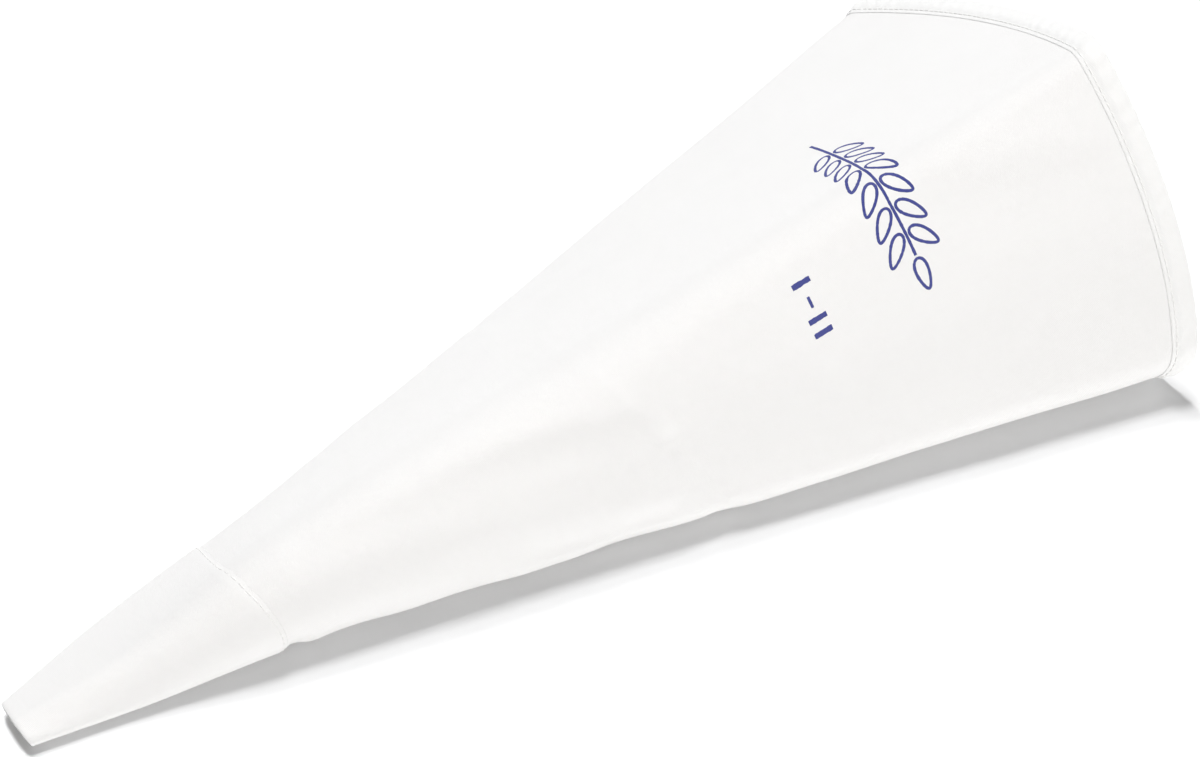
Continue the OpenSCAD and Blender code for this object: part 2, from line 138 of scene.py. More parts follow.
class Outline:
    """The closed section at each s, in six pieces: underside, back corner, back facet, ridge, front facet
    and front corner. It starts where the underside meets the front corner, where the side seam runs."""

    def __init__(self, s):
        q = self.sizes = sizes_at(s)
        back = q.back - q.back_r + 1j * q.back_r
        top = q.ridge + 1j * (q.height - q.ridge_r)
        front = q.front_r - q.front + 1j * q.front_r
        rear_c, rear_r, a1, a2 = facet(back, q.back_r, top, q.ridge_r, q.back_bulge)
        fore_c, fore_r, a3, a4 = facet(top, q.ridge_r, front, q.front_r, q.front_bulge)
        a3 = np.where(a3 < a2, a3 + 2 * math.pi, a3)
        a4 = np.where(a4 < a3, a4 + 2 * math.pi, a4)
        down = np.full_like(a1, -math.pi / 2)
        self.under = (front.real, back.real)
        self.centres = np.stack([front * 0, back, rear_c, top, fore_c, front])
        self.radii = np.stack([q.back_r * 0, q.back_r, rear_r, q.ridge_r, fore_r, q.front_r])
        self.starts = np.stack([down, down, a1, a2, a3, a4])
        self.turns = np.stack([down * 0, a1 - down, a2 - a1, a3 - a2, a4 - a3, 1.5 * math.pi - a4])
        lengths = self.radii * self.turns
        lengths[0] = back.real - front.real
        self.marks = np.concatenate([lengths[:1] * 0, np.cumsum(lengths, 0)])
        self.marks -= (self.marks[3] + self.marks[4]) / 2

    def place(self, across):
        """Point y + iz and outward angle at each distance across the cloth from the ridge, + frontward."""
        across = np.clip(across, self.marks[0], self.marks[-1])
        point, angle = np.zeros(across.shape, complex), np.zeros(across.shape)
        for i in range(6):
            here = (across >= self.marks[i]) & (across <= self.marks[i + 1])
            share = (across - self.marks[i]) / (self.marks[i + 1] - self.marks[i])
            turn = self.starts[i] + self.turns[i] * share
            spot = self.centres[i] + self.radii[i] * np.exp(1j * turn)
            if i == 0:
                spot = self.under[0] + (self.under[1] - self.under[0]) * share + 0j
            point, angle = np.where(here, spot, point), np.where(here, turn, angle)
        return point, angle


def smooth(x):
    x = np.clip(x, 0, 1)
    return x * x * (3 - 2 * x)


def bell(x, width):
    return np.exp(-(x / width) ** 2)


def unit(vectors):
    return vectors / np.linalg.norm(vectors, axis=-1)[:, None]


def run_along(t):
    """Distance along X that line t of the cloth covers, so that every line has the same length."""
    ends = [Outline(np.full(t.shape, s)) for s in (0.0, float(BAG_LEN))]
    (tip, _), (mouth, _) = (end.place(share_to_across(end, t)) for end in ends)
    return np.sqrt(BAG_LEN ** 2 - abs(mouth - tip) ** 2)


def share_to_across(outline, t):
    i = np.clip(np.floor(t).astype(int), 0, 5)
    low = np.take_along_axis(outline.marks, i[None], 0)[0]
    high = np.take_along_axis(outline.marks, i[None] + 1, 0)[0]
    return low + (high - low) * (t - i)


def across_to_share(outline, across):
    t = np.zeros(across.shape)
    for i in range(6):
        low, high = outline.marks[i], outline.marks[i + 1]
        t = np.where(across >= low, i + np.clip((across - low) / (high - low), 0, 1), t)
    return t


# ---------------------------------------------------------------- folds, dents and puckers
def fold(s, across, path, height, width, sharp=False):
    """A crease along a path of (s, across), which fades at its ends. Height is outward."""
    nearest = np.full(s.shape, 1e9)
    for (s0, a0), (s1, a1) in zip(path, path[1:]):
        run = np.array([s1 - s0, a1 - a0], float)
        t = np.clip(((s - s0) * run[0] + (across - a0) * run[1]) / (run @ run), 0, 1)
        nearest = np.minimum(nearest, np.hypot(s - s0 - t * run[0], across - a0 - t * run[1]))
    return height * (np.exp(-nearest / width) if sharp else bell(nearest, width))


def dent(s, across, at, height, along, wide, turn=0):
    """A round or oval bump or dent at (s, across), turned by an angle in degrees."""
    c, d = math.cos(math.radians(turn)), math.sin(math.radians(turn))
    x, y = s - at[0], across - at[1]
    return height * bell(x * c + y * d, along) * bell(y * c - x * d, wide)


def waves(s, across, seed, size, height):
    """Soft uneven waves from smooth noise, about `size` mm from one to the next."""
    flat = [noise.noise(Vector((x / size, y / size * 1.6, seed))) for x, y in zip(s.ravel(), across.ravel())]
    return height * np.array(flat).reshape(s.shape)


def relief(outline, s, across, z):
    """How far the cloth stands out from the smooth surface, in mm."""
    # the storage crease, where the bag was folded in half, and the small dents and bumps on it
    crease = [(236, -180), (204, -115), (203, -88), (205, -8), (209, 8), (229, 53), (236, 76), (238, 120)]
    out = fold(s, across, crease, 0.22, 2.0, sharp=True)
    out += fold(s, across, [(206, 2), (209, 8), (219, 31)], 0.22, 1.1)
    out += dent(s, across, (221, 37), 1.1, 3.2, 3.0)
    out += fold(s, across, [(223, 43), (229, 53), (237, 75)], -0.6, 2.4)
    out += dent(s, across, (232, 60), -0.9, 13, 5, turn=70)
    # soft swellings and valleys, which run from the tip's second layer to the storage crease
    out += fold(s, across, [(104, 6), (133, 15), (158, 17), (187, 22), (212, 31)], -0.8, 7)
    out += fold(s, across, [(148, 5), (172, 8), (192, 14), (212, 20)], 0.5, 4.5)
    out += fold(s, across, [(146, 32), (188, 43), (217, 56)], 0.7, 6)
    out += fold(s, across, [(174, 55), (196, 61), (213, 65)], -0.8, 4.5)
    out += fold(s, across, [(203, -96), (222, -74), (265, -78), (310, -86)], -0.4, 5)
    # near the mouth the ridge flattens into a narrow facet, which ends at a soft crest
    out += fold(s, across, [(338, 8), (372, 20), (402, 32)], 1.1, 9)
    # the lower front edge, as seen from the front: it swells and dips along its length
    edge = across - outline.marks[5] - outline.radii[5] * (EDGE_TURN - outline.starts[5])
    swells = ((91, -1.1, 2.6), (98, 0.4, 4), (128, 0.8, 13), (166, 0.5, 9), (201, -1.3, 12),
              (235, -0.9, 5.5))
    for at, height, length in swells:
        out += dent(s, edge, (at, 0), height, length, 9)
    out += fold(s, edge, [(89.4, 1), (91.2, -7)], -0.5, 0.7, sharp=True)
    out += waves(s, across, 3.7, 45, 0.45) + waves(s, across, 8.1, 17, 0.12)
    # the cloth is held straight by the stitched bands, and lies flat on the floor
    calm = smooth((BAG_LEN - s) / 30) * smooth((s - 20) / 60)
    # the side seam pulls a narrow groove
    seam = np.minimum(across - outline.marks[0], outline.marks[-1] - across)
    return out * calm * smooth(z / 7) - 0.3 * bell(seam, 0.6) * smooth((s - 20) / 30)


def rise(s, z):
    """The stitched bands lie on the floor too, so the cloth rises over the seams beside them."""
    room = LAYER_GAP + STITCH_LIFT + THREAD_D + FLOOR_GAP
    up = ((SLEEVE_T + room) * smooth((SLEEVE_LEN + BAND_EASE - s) / BAND_EASE)
          + (HEM_T + room) * smooth((s - BAG_LEN + HEM_W + BAND_EASE) / BAND_EASE))
    return up * np.clip(1 - z / RISE_HEIGHT, 0, 1)


def cloth(s, across=None, off=0.0, t=None, past=0.0):
    """Points of a layer at s along and `across` from the ridge, or on line t, `off` outside the cloth's
    outer face and `past` beyond s. The result is in the part's frame, in mm."""
    given = (s, across, off, t, past)
    s, across, off, t, past = (None if v is None else np.asarray(v, float) for v in given)
    shape = np.broadcast_shapes(*(v.shape for v in (s, across, off, t, past) if v is not None))
    s = np.broadcast_to(s, shape)
    outline = Outline(s)
    if across is None:
        t = np.broadcast_to(t, shape)
        across = share_to_across(outline, t)
    else:
        across = np.broadcast_to(across, shape)
        t = across_to_share(outline, across)
    point, angle = outline.place(across)
    lip = TIP_SLANT * np.clip(1 - s / THROAT_AT, 0, 1) * (1 - point.imag / outline.sizes.height)
    pull = SEAM_PULL * np.clip((s - CREASE_AT) / (BAG_LEN - CREASE_AT), 0, 1) ** 2
    lip -= pull * bell(abs(point - outline.under[0]), PULL_REACH)
    out = point + (off + relief(outline, s, across, point.imag)) * np.exp(1j * angle)
    x = (s + past) * run_along(t) / BAG_LEN + lip
    return np.stack([x, out.real, out.imag + rise(s, point.imag)], -1) - ORIGIN


def origin():
    """The part's origin in the section's frame: the centre of its footprint."""
    t = np.linspace(0, 6, 721)
    mouth = Outline(np.full(t.shape, float(BAG_LEN)))
    point, angle = mouth.place(share_to_across(mouth, t))
    edge = point.real + (HEM_T + LAYER_GAP) * np.cos(angle)
    middle = run_along(t).max() * (BAG_LEN + HEM_ROLL) / BAG_LEN / 2
    return np.array([middle, (edge.min() + edge.max()) / 2, 0])


ORIGIN = origin()


def flat_cut(s, t):
    """Where a point of the cloth lies on its flat cut, in metres, so that the weave follows the cloth."""
    outline = Outline(s)
    across = share_to_across(outline, t)
    share = (across - outline.marks[0]) / (outline.marks[-1] - outline.marks[0])
    turn = (share - 0.5) * SECTOR
    return np.stack([(TIP_RADIUS + s) * np.sin(turn), (TIP_RADIUS + s) * np.cos(turn)], -1) * MM


# ---------------------------------------------------------------- making meshes
def mesh_object(name, points, faces, uvs=None):
    """A smooth-shaded piece from points in mm, and for each face corner its place on the flat cut."""
    mesh = bpy.data.meshes.new(name)
    mesh.from_pydata((np.asarray(points) * MM).tolist(), [], faces)
    if uvs is not None:
        mesh.uv_layers.new(name="Cut").data.foreach_set("uv", np.asarray(uvs, np.float32).ravel())
    mesh.shade_smooth()
    mesh.validate()
    piece = bpy.data.objects.new(name, mesh)
    bpy.context.scene.collection.objects.link(piece)
    return piece


def grid_faces(rows, columns, wrap_rows, wrap_columns):
    """Quads of a grid, with rows and columns joined round where asked, and their corners as row, column.
    On a tube they face outwards if the columns run clockwise, looking from the first row to the last."""
    row_starts, column_starts = np.arange(rows - (not wrap_rows)), np.arange(columns - (not wrap_columns))
    i, k = (index.ravel() for index in np.meshgrid(row_starts, column_starts, indexing="ij"))
    corners = np.stack([np.stack([i, k], -1), np.stack([i, k + 1], -1),
                        np.stack([i + 1, k + 1], -1), np.stack([i + 1, k], -1)], 1)
    return (corners[..., 0] % rows) * columns + corners[..., 1] % columns, corners


def loop_piece(name, s, off, lines, points=None):
    """A closed layer: a profile of (s, off) carried once round the section on the given lines. Its s may
    differ from line to line."""
    s = np.broadcast_to(np.reshape(s, (len(s), -1)), (len(s), len(lines)))
    if points is None:
        points = cloth(s, off=np.reshape(off, (-1, 1)), t=lines[None])
    faces, corners = grid_faces(len(s), len(lines), True, True)
    ends = np.append(lines, 6.0)
    cut = flat_cut(np.hstack([s, s[:, :1]]), np.broadcast_to(ends, (len(s), len(ends))))
    uvs = cut[corners[..., 0] % len(s), corners[..., 1]]
    return mesh_object(name, points.reshape(-1, 3), faces.tolist(), uvs)


def tube_shape(rings, places=None, closed=False):
    """A tube through rings of points, with its ends capped or joined: its points, its faces, and the place
    of each face's corners on the flat cut."""
    count, sides = rings.shape[:2]
    faces = grid_faces(count, sides, closed, True)[0].tolist()
    if not closed:
        last = (count - 1) * sides
        faces += [list(range(sides - 1, -1, -1)), list(range(last, last + sides))]
    corner_places = [] if places is None else places.reshape(-1, 2)[np.concatenate(faces)].tolist()
    return rings.reshape(-1, 3).tolist(), faces, corner_places


def joined_shapes(name, shapes):
    """One piece made of several separate closed shapes."""
    points, faces, uvs = [], [], []
    for shape_points, shape_faces, shape_uvs in shapes:
        faces += [[v + len(points) for v in face] for face in shape_faces]
        points += shape_points
        uvs += shape_uvs
    return mesh_object(name, points, faces, uvs or None)


def spaced_lines(counts):
    """Lines round the section, with a number of steps on each of its six pieces."""
    return np.concatenate([i + np.arange(n) / n for i, n in enumerate(counts)])


# Lines for the cloth: a few more of them lie close to the side seam, to carry its groove
SEAM_LINES = (0.002, 0.005, 0.009, 0.015, 0.022, 5.93, 5.955, 5.975, 5.987, 5.995)
BODY_LINES = np.union1d(spaced_lines((30, 14, 44, 20, 60, 28)), SEAM_LINES)
HEM_LINES = spaced_lines((150, 36, 160, 20, 124, 50))


def tube_profile(stations, outside, inside, cut=0.15):
    """Profile of a cloth tube with softened cut edges: the outer face forward, then the inner face back."""
    edge = min(cut, (outside - inside) / 3)
    s = np.concatenate([stations, stations[::-1]])
    off = np.concatenate([np.full(len(stations), outside), np.full(len(stations), inside)])
    for end in (0, len(stations) - 1, len(stations), 2 * len(stations) - 1):
        off[end] += edge if off[end] < (outside + inside) / 2 else -edge
    return s, off


def finish_piece(piece, node, material):
    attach(piece, "root")
    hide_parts(node)
    piece.data.materials.append(material)
    return piece


# ---------------------------------------------------------------- materials
class Nodes:
    """Short names for the nodes of one material."""

    def __init__(self, name):
        self.material = bpy.data.materials.new(name)
        self.material.use_nodes = True
        self.tree = self.material.node_tree
        self.shader = self.tree.nodes["Principled BSDF"]

    def put(self, socket, value):
        if isinstance(value, bpy.types.NodeSocket):
            self.tree.links.new(value, socket)
        else:
            socket.default_value = value

    def math(self, operation, a, b=0.5, c=0.5):
        node = self.tree.nodes.new("ShaderNodeMath")
        node.operation = operation
        for socket, value in zip(node.inputs, (a, b, c)):
            self.put(socket, value)
        return node.outputs[0]

    def noise(self, vector, scale, detail=2.0, roughness=0.5):
        node = self.tree.nodes.new("ShaderNodeTexNoise")
        self.put(node.inputs["Vector"], vector)
        for socket, value in (("Scale", scale), ("Detail", detail), ("Roughness", roughness)):
            node.inputs[socket].default_value = value
        return node.outputs["Fac"]

    def stretch(self, vector, scale):
        node = self.tree.nodes.new("ShaderNodeMapping")
        self.put(node.inputs["Vector"], vector)
        node.inputs["Scale"].default_value = scale
        return node.outputs[0]

    def ramp(self, fac, low, high, colour_low, colour_high):
        node = self.tree.nodes.new("ShaderNodeValToRGB")
        self.put(node.inputs[0], fac)
        for element, place, colour in zip(node.color_ramp.elements, (low, high), (colour_low, colour_high)):
            element.position, element.color = place, (*colour, 1)
        return node.outputs[0]

    def span(self, value, low, high):
        node = self.tree.nodes.new("ShaderNodeMapRange")
        self.put(node.inputs[0], value)
        for i, end in enumerate((0, 1, low, high), 1):
            node.inputs[i].default_value = end
        return node.outputs[0]

    def bump(self, height, distance, strength=1.0, normal=None):
        node = self.tree.nodes.new("ShaderNodeBump")
        self.put(node.inputs["Height"], height)
        node.inputs["Distance"].default_value = distance
        node.inputs["Strength"].default_value = strength
        if normal is not None:
            self.put(node.inputs["Normal"], normal)
        return node.outputs[0]

    def cut(self):
        """The place on the flat cut, as a vector, and its two parts."""
        place = self.tree.nodes.new("ShaderNodeUVMap")
        place.uv_map = "Cut"
        parts = self.tree.nodes.new("ShaderNodeSeparateXYZ")
        self.put(parts.inputs[0], place.outputs[0])
        return place.outputs[0], parts.outputs[0], parts.outputs[1]

    def body(self):
        return self.tree.nodes.new("ShaderNodeTexCoord").outputs["Object"]

    def weave(self, u, v, pitch):
        """Height of a plain weave, from 0 to 1: each thread goes over one crossing thread, under the next."""
        u, v = self.math("DIVIDE", u, pitch), self.math("DIVIDE", v, pitch)
        threads = []
        for over, along, sign in ((u, v, 1), (v, u, -1)):
            column = self.math("FLOOR", over)
            round_top = self.math("SINE", self.math("MULTIPLY", self.math("FRACT", over), math.pi))
            phase = self.math("MULTIPLY", self.math("ADD", self.math("ADD", column, along), -0.5), math.pi)
            swing = self.math("MULTIPLY_ADD", self.math("COSINE", phase), 0.42 * sign, 0.58)
            threads.append(self.math("MULTIPLY", self.math("POWER", round_top, 0.6), swing))
        return self.math("MAXIMUM", *threads)


WEAVE_PITCH = 0.00046
COTTON_LIGHT, COTTON_SHADE = (0.874, 0.870, 0.867), (0.838, 0.832, 0.826)


def cotton(name, light=COTTON_LIGHT, shade=COTTON_SHADE, pitch=WEAVE_PITCH):
    """Coated cotton: a fine plain weave with uneven threads, faint cloudiness and a soft sheen, and painted
    shade where the weave dips.
    """
    n = Nodes(name)
    cut, u, v = n.cut()
    weave = n.weave(u, v, pitch)
    # slubs: thick places in the threads of both ways, long along the thread and narrow across it
    slubs = n.math("MAXIMUM", *(n.noise(n.stretch(cut, way), 1) for way in ((2200, 160, 1), (160, 2200, 1))))
    clouds = n.noise(n.body(), 26, detail=4)
    tone = n.math("MULTIPLY_ADD", slubs, 0.35, n.math("MULTIPLY", clouds, 0.4))
    # the weave makes the colour lighter on the thread crowns and darker where the threads dip, which is
    # painted shade between the threads; the slubs and clouds above are the cloth's own uneven tone
    tone = n.math("MULTIPLY_ADD", weave, 0.35, tone)
    n.put(n.shader.inputs["Base Color"], n.ramp(tone, 0.3, 0.8, shade, light))
    n.put(n.shader.inputs["Roughness"], n.span(n.math("MULTIPLY", weave, clouds), 0.86, 0.68))
    n.shader.inputs["Sheen Weight"].default_value = 0.12
    n.shader.inputs["Sheen Roughness"].default_value = 0.5
    n.shader.inputs["Specular IOR Level"].default_value = 0.3
    height = n.math("MULTIPLY_ADD", slubs, 0.5, weave)
    wrinkle = n.bump(n.noise(n.body(), 90, detail=3), 0.0005, 0.35)
    n.put(n.shader.inputs["Normal"], n.bump(height, 0.00009, 0.7, wrinkle))
    return n.material


def sealing_coat():
    """The coat inside: smooth and slightly glossy, with the weave just telling through it."""
    n = Nodes("sealing_coat")
    _, u, v = n.cut()
    weave = n.weave(u, v, WEAVE_PITCH)
    clouds = n.noise(n.body(), 40, detail=4)
    n.put(n.shader.inputs["Base Color"], n.ramp(clouds, 0.35, 0.7, (0.80, 0.785, 0.75), (0.85, 0.84, 0.815)))
    n.put(n.shader.inputs["Roughness"], n.span(clouds, 0.34, 0.52))
    n.shader.inputs["Specular IOR Level"].default_value = 0.45
    wrinkle = n.bump(n.noise(n.body(), 160), 0.0003, 0.3)
    n.put(n.shader.inputs["Normal"], n.bump(weave, 0.00004, 0.5, wrinkle))
    return n.material


def sewing_thread():
    n = Nodes("sewing_thread")
    fibres = n.noise(n.body(), 5200, detail=3)
    n.put(n.shader.inputs["Base Color"], n.ramp(fibres, 0.3, 0.7, (0.82, 0.815, 0.80), (0.88, 0.878, 0.868)))
    n.put(n.shader.inputs["Roughness"], n.span(fibres, 0.5, 0.72))
    n.shader.inputs["Sheen Weight"].default_value = 0.25
    n.put(n.shader.inputs["Normal"], n.bump(fibres, 0.00006, 0.8))
    return n.material


def blue_ink():
    """Screen-printed ink: it sits on the threads, and is thinner where they dip."""
    n = Nodes("blue_ink")
    cut, u, v = n.cut()
    weave = n.weave(u, v, WEAVE_PITCH)
    grain = n.noise(cut, 3000, detail=3)
    cover = n.math("MULTIPLY_ADD", weave, 0.6, n.math("MULTIPLY", grain, 0.5))
    thin, thick = (0.062, 0.078, 0.30), (0.030, 0.040, 0.235)
    n.put(n.shader.inputs["Base Color"], n.ramp(cover, 0.25, 0.75, thin, thick))
    n.put(n.shader.inputs["Roughness"], n.span(grain, 0.5, 0.75))
    n.put(n.shader.inputs["Normal"], n.bump(weave, 0.00007, 0.7))
    return n.material


# ---------------------------------------------------------------- the cloth pieces
BODY_STATIONS = np.unique(np.concatenate([np.linspace(0.15, BAG_LEN - 0.15, 201), [0, BAG_LEN]]))


def bag_body(material):
    s, off = tube_profile(BODY_STATIONS, 0, -CLOTH_T)
    piece = loop_piece("cloth_cone", s, off, BODY_LINES)
    return finish_piece(piece, "bag_body", material)


def inner_coating(material):
    outside = -CLOTH_T - LAYER_GAP
    s, off = tube_profile(BODY_STATIONS, outside, outside - COATING_T)
    piece = loop_piece("sealing_lining", s, off, BODY_LINES)
    return finish_piece(piece, "inner_coating", material)


def pressed(off, from_edge):
    """Offset of a face of a sewn band, which is pressed thin along its edge."""
    return LAYER_GAP + (off - LAYER_GAP) * (0.16 + 0.84 * smooth(from_edge / 3.4))


def sleeve_edge(lines):
    """Where the second layer ends on each line. It is cut straight across, so it ends nearer the tip on the
    side away from the seam."""
    tip_edge = Outline(np.full(lines.shape, float(SLEEVE_LEN)))
    across = share_to_across(tip_edge, lines)
    turn = 2 * math.pi * (across - tip_edge.marks[0]) / (tip_edge.marks[-1] - tip_edge.marks[0])
    return SLEEVE_LEN - SLEEVE_SLANT * ((1 - np.cos(turn)) / 2) ** 1.6


def tip_sleeve(material):
    stations = np.unique(np.concatenate([np.linspace(0.2, SLEEVE_LEN - 0.2, 60), [0, SLEEVE_LEN]]))
    s, off = tube_profile(stations, LAYER_GAP + SLEEVE_T, LAYER_GAP, cut=0.22)
    off = pressed(off, SLEEVE_LEN - s)
    s = s[:, None] * sleeve_edge(BODY_LINES) / SLEEVE_LEN
    piece = loop_piece("tip_second_layer", s, off, BODY_LINES)
    return finish_piece(piece, "tip_sleeve", material)


# The hem is the cloth turned outwards twice: two layers of HEM_LAYER, with room between them for puckers
PUCKER, PUCKER_H, HEM_LAYER, HEM_SLACK = 6.6, 0.26, 0.45, 0.34
HEM_START = BAG_LEN - HEM_W
HEM_TIGHT = LAYER_GAP + 2 * HEM_LAYER + 0.04


def pucker(across):
    """Puckers along the hem, between about -1.3 and 1.3: one every 6 to 7 mm, none quite alike."""
    drift = np.array([noise.noise(Vector((x / 23, 5.2, 0))) for x in across.ravel()]).reshape(across.shape)
    size = np.array([noise.noise(Vector((x / 17, 9.4, 2))) for x in across.ravel()]).reshape(across.shape)
    return np.sin(2 * math.pi * (across / PUCKER + 0.7 * drift)) * (0.75 + size)


def hem_height(s, across):
    """Offset of the hem's outer face: held tight along the stitches, and puckered on each side of them."""
    loose = 1 - bell(s - HEM_START - STITCH_INSET, 1.5)
    loose *= np.where(s < HEM_START + STITCH_INSET, 0.35, 1) * (1 - 0.35 * smooth((s - HEM_START - 4) / 4))
    return HEM_TIGHT + loose * (HEM_SLACK + PUCKER_H * pucker(across + 0.35 * (s - HEM_START)))


def hem_profile(across):
    """The hem's cross-section as rows of (s, off, past): over the outside, over the cloth's end, back
    between the two layers, round the raw edge, and back along the cloth to the fold."""
    top = LAYER_GAP + HEM_LAYER

    def face(s, inward=0.0):
        return hem_height(np.full(across.shape, float(s)), across) - inward

    rows = [(s, face(s), 0.0) for s in np.linspace(HEM_START + 0.35, BAG_LEN, 15)]
    wave, rim = 0.12 * pucker(across + 3), face(BAG_LEN)
    for share, past in ((0.93, 0.42), (0.66, 0.7), (0.25, 0.8), (-0.2, 0.7), (-0.45, 0.4)):
        off = rim * share if share > 0 else CLOTH_T * share * 1.5
        rows.append((BAG_LEN, off, past * HEM_ROLL / 0.8 + wave * past))
    rows += [(BAG_LEN, -CLOTH_T, 0.12), (BAG_LEN, -CLOTH_T / 2, LAYER_GAP), (BAG_LEN, top, LAYER_GAP)]
    rows += [(s, face(s, HEM_LAYER), 0.0) for s in np.linspace(BAG_LEN - 0.3, HEM_START + 0.75, 8)]
    rows += [(HEM_START + 0.6, face(HEM_START + 0.6, HEM_LAYER + 0.02), 0.0)]
    rows += [(s, top, 0.0) for s in np.linspace(HEM_START + 0.75, BAG_LEN - 0.9, 6)]
    rows += [(BAG_LEN - 0.75, top - 0.12, 0.0), (BAG_LEN - 0.75, LAYER_GAP + 0.12, 0.0)]
    rows += [(s, LAYER_GAP, 0.0) for s in np.linspace(BAG_LEN - 0.9, HEM_START + 0.35, 8)]
    rows += [(HEM_START + 0.1, HEM_TIGHT * 0.24, 0.0), (HEM_START, HEM_TIGHT * 0.5, 0.0),
             (HEM_START + 0.1, HEM_TIGHT * 0.8, 0.0)]
    return [(s, pressed(off, s - HEM_START), past) for s, off, past in rows]


def mouth_hem(material):
    ends = np.full(HEM_LINES.shape, float(BAG_LEN))
    rows = hem_profile(share_to_across(Outline(ends), HEM_LINES))
    points = np.stack([cloth(ends - BAG_LEN + s, off=off, t=HEM_LINES, past=past) for s, off, past in rows])
    unrolled = HEM_START + np.append(0, np.linalg.norm(np.diff(points[:, 0], axis=0), axis=-1).cumsum())
    piece = loop_piece("mouth_hem_band", unrolled, 0.0, HEM_LINES, points=points)
    return finish_piece(piece, "mouth_hem", material)


def seam_allowance(material):
    """The cloth's two edges, turned in at the side seam: two strips on the underside that curl up a bit."""
    stations = np.linspace(ALLOWANCE_FROM, BAG_LEN - 0.3, 181)
    base = cloth(stations, t=np.zeros(len(stations)))
    curl = 0.35 + 0.3 * np.array([noise.noise(Vector((s / 14, 1.5, 6))) for s in stations])
    floor = CLOTH_T + COATING_T + 2 * LAYER_GAP
    steps, softened = 9, 0.12
    strips = []
    for layer in (0, 1):
        low = floor + layer * (ALLOWANCE_T + LAYER_GAP)
        across = np.linspace(ALLOWANCE_INSET, ALLOWANCE_W - layer, steps)
        free = ((across - ALLOWANCE_INSET) / ALLOWANCE_W) ** 2
        # round the strip: its lower face out, its upper face back, with the two long edges softened
        y, lift = np.append(across, across[::-1]), np.append(free, free[::-1])
        z = np.repeat([low, low + ALLOWANCE_T], steps)
        z[[0, steps - 1]] += softened
        z[[steps, -1]] -= softened
        ring = np.stack([np.zeros(2 * steps), y, z], -1)
        rings = base[:, None] + ring[None] + (curl[:, None] * lift)[..., None] * [0, 0, 1]
        flat = np.stack(np.broadcast_arrays(stations[:, None], y), -1) * MM
        strips.append(tube_shape(rings, flat))
    return finish_piece(joined_shapes("turned_in_edges", strips), "seam_allowance", material)


# ---------------------------------------------------------------- stitches
THREAD_RINGS, THREAD_SIDES = 11, 10
PLIES, PLY_TWIST = 2, 2.6


def one_stitch(line, up):
    """Rings of points round one stitch: plied thread that dips into the cloth at both ends of its line."""
    share = np.linspace(-1, 1, THREAD_RINGS)[:, None]
    line = line + up * (0.1 - 0.42 * share ** 6)
    ahead = unit(np.gradient(line, axis=0))
    side = unit(np.cross(ahead, up))
    up = np.cross(side, ahead)
    turn = -np.arange(THREAD_SIDES) / THREAD_SIDES * 2 * math.pi
    ply = 1 + 0.16 * np.cos(PLIES * (turn - PLY_TWIST * share))
    radius = THREAD_D / 2 * ply * np.sqrt(np.clip(1.04 - share ** 8, 0, 1))
    x, y = radius * np.cos(turn), radius * np.sin(turn)
    return line[:, None] + side[:, None] * x[..., None] + up[:, None] * y[..., None]


def stitches(name, node, path, outward, material):
    """A row of stitches, evenly spaced along a path of points and the directions out of the cloth there."""
    along = np.append(0, np.linalg.norm(np.diff(path, axis=0), axis=1).cumsum())
    count = int(along[-1] / STITCH_PITCH)
    row = []
    for i in range(count):
        spots = along[-1] * i / count + np.linspace(-0.12, STITCH_LEN + 0.12, THREAD_RINGS)
        line, up = (np.stack([np.interp(spots, along, part) for part in track.T], -1)
                    for track in (path, outward))
        row.append(tube_shape(one_stitch(line, up)))
    return finish_piece(joined_shapes(name, row), node, material)


def ring_row(s, off):
    """A path round the bag at distance s, which may be a function of the line, and the way out of it."""
    t = np.linspace(0, 6, 1201)
    here = s(t) if callable(s) else np.full(t.shape, float(s))
    outline = Outline(here)
    across = share_to_across(outline, t)
    height = off(here, across) if callable(off) else off
    path = cloth(here, off=height, t=t)
    return path, cloth(here, off=height + 1, t=t) - path


def hem_stitches(material):
    s = HEM_START + STITCH_INSET
    path, outward = ring_row(s, lambda here, across: pressed(hem_height(here, across), STITCH_INSET))
    return stitches("hem_stitching", "hem_stitches", path + outward * THREAD_D * 0.05, outward, material)


def sleeve_stitches(material):
    height = pressed(LAYER_GAP + SLEEVE_T, STITCH_INSET) + THREAD_D * 0.05
    path, outward = ring_row(lambda t: sleeve_edge(t) - STITCH_INSET, height)
    return stitches("second_layer_stitching", "sleeve_stitches", path, outward, material)


def seam_stitches(material):
    s = np.linspace(ALLOWANCE_FROM + 1, BAG_LEN - 2, 800)
    height = CLOTH_T + COATING_T + 3 * LAYER_GAP + 2 * ALLOWANCE_T + THREAD_D * 0.3
    path = cloth(s, t=np.zeros(len(s))) + [0, ALLOWANCE_INSET + STITCH_INSET, height + 0.05]
    return stitches("seam_stitching", "seam_stitches", path, np.tile([0.0, 0, 1], (len(s), 1)), material)


# ---------------------------------------------------------------- print
def ink_line(path, width=INK_W, closed=False):
    """A printed line along a path of (across, s): a thin closed strip that lies on the cloth."""
    path = np.asarray(path, float)
    if closed:
        travel = np.roll(path, -1, 0) - np.roll(path, 1, 0)
    else:
        travel = np.gradient(path, axis=0)
    travel = unit(travel)
    side = np.stack([travel[:, 1], -travel[:, 0]], -1)
    # the edge of the ink creeps a little along the threads
    creep = np.array([noise.noise(Vector((a * 1.9, s * 1.9, 4))) for a, s in path]) * 0.12 * width
    shares = np.array([-1, -0.82, -0.4, 0, 0.4, 0.82, 1, 0])
    offs = np.array([-INK_SINK, INK_T * 0.8, INK_T, INK_T, INK_T, INK_T * 0.8, -INK_SINK, -INK_SINK])
    spots = path[:, None] + side[:, None] * (shares[None] * (width / 2 + creep[:, None]))[..., None]
    points = cloth(spots[..., 1], across=spots[..., 0], off=np.broadcast_to(offs, spots.shape[:2]))
    return tube_shape(points, spots * MM, closed)


